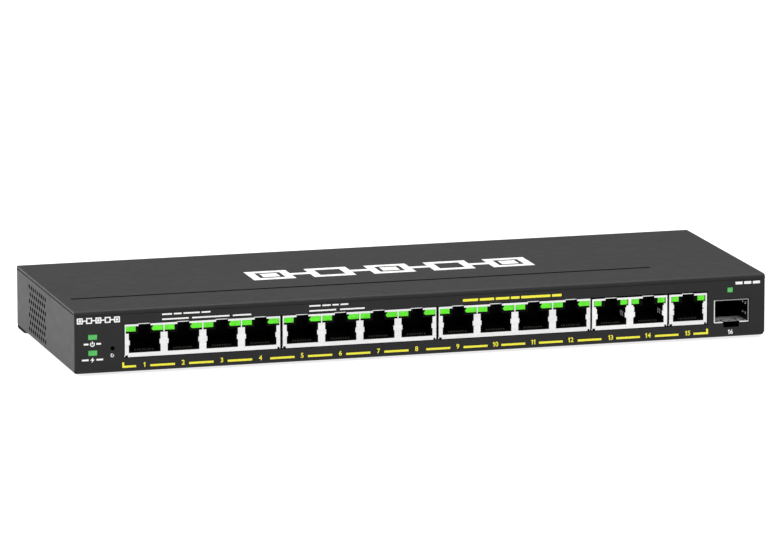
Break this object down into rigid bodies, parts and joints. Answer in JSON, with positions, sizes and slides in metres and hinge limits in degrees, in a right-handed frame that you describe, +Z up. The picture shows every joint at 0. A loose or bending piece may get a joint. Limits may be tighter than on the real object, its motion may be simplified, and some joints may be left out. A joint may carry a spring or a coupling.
{
  "type": "desktop network switch",
  "caption": "Low sheet-steel desktop network switch with a row of copper jacks, an optical slot, status lights, side vents and a rear power inlet.",
  "frame": {"origin": "centre of the footprint, on the plane that the feet stand on", "axes": "+Z up, +X to the right seen from the jacks, +Y to the rear; the jacks face -Y"},
  "size_m": [0.2866, 0.101, 0.026],
  "materials": {
    "painted_steel": "fine-textured powder coat, charcoal",
    "black_screw": "black oxide",
    "zinc_screw": "zinc plated",
    "circuit_board": "solder mask, green",
    "insulator_film": "film",
    "tin_plate": "bright tin",
    "tin_plate_dark": "spring steel",
    "black_moulding": "moulded",
    "gold_plate": "gold flash",
    "port_light": "light guide, lit green",
    "lit_guide": "light guide, lit green",
    "lamp_chip": "small lamp package",
    "chip_package": "moulded package",
    "thermal_pad": "soft silicone",
    "heatsink": "anodised",
    "capacitor_can": "can with sleeve",
    "ferrite": "moulded ferrite",
    "ceramic_fuse": "glazed end caps",
    "foot_rubber": "soft black"
  },
  "bodies": {
    "chassis": {"base_chassis": "painted_steel", "board_screws": "zinc_screw", "board_standoffs": "zinc_screw", "bulk_capacitors": "capacitor_can", "cover_screws": "black_screw", "crystal": "tin_plate", "dc_jack_housing": "black_moulding", "dc_jack_pin": "gold_plate", "dc_jack_spring": "tin_plate", "flash_chip": "chip_package", "input_fuse": "ceramic_fuse", "insulator_sheet": "insulator_film", "jack_contacts_13_14": "gold_plate", "jack_contacts_15": "gold_plate", "jack_contacts_1_4": "gold_plate", "jack_contacts_5_8": "gold_plate", "jack_contacts_9_12": "gold_plate", "jack_housing_13_14": "black_moulding", "jack_housing_15": "black_moulding", "jack_housing_1_4": "black_moulding", "jack_housing_5_8": "black_moulding", "jack_housing_9_12": "black_moulding", "jack_lights_13_14": "port_light", "jack_lights_15": "port_light", "jack_lights_1_4": "port_light", "jack_lights_5_8": "port_light", "jack_lights_9_12": "port_light", "jack_magnetics_13_14": "black_moulding", "jack_magnetics_15": "black_moulding", "jack_magnetics_1_4": "black_moulding", "jack_magnetics_5_8": "black_moulding", "jack_magnetics_9_12": "black_moulding", "jack_shield_13_14": "tin_plate", "jack_shield_15": "tin_plate", "jack_shield_1_4": "tin_plate", "jack_shield_5_8": "tin_plate", "jack_shield_9_12": "tin_plate", "main_board": "circuit_board", "phy_chips": "chip_package", "phy_heatsinks": "heatsink", "poe_controllers": "chip_package", "poe_light_pipe": "lit_guide", "power_inductor": "ferrite", "power_light_pipe": "lit_guide", "reset_switch_body": "black_moulding", "rubber_foot_front_left": "foot_rubber", "rubber_foot_front_right": "foot_rubber", "rubber_foot_rear_left": "foot_rubber", "rubber_foot_rear_right": "foot_rubber", "sfp_cage": "tin_plate", "sfp_connector": "black_moulding", "sfp_light_pipe": "lit_guide", "status_led_chips": "lamp_chip", "switch_chip": "chip_package", "switch_heatsink": "heatsink", "thermal_pads": "thermal_pad", "top_cover": "painted_steel"},
    "reset_plunger": {"reset_plunger": "black_moulding"},
    "sfp_latch_tab": {"sfp_latch_tab": "tin_plate_dark"}
  },
  "joints": [
    {"name": "reset_press", "type": "slide", "parent": "chassis", "child": "reset_plunger", "axis": [0, 1, 0], "range_m": [0, 0.00025], "stiffness_N_per_m": 6000},
    {"name": "latch_flex", "type": "hinge", "parent": "chassis", "child": "sfp_latch_tab", "pos_m": [0.12895, -0.0436, 0.00695], "axis": [1, 0, 0], "range_deg": [0, 6], "stiffness_Nm_per_rad": 0.13}
  ]
}
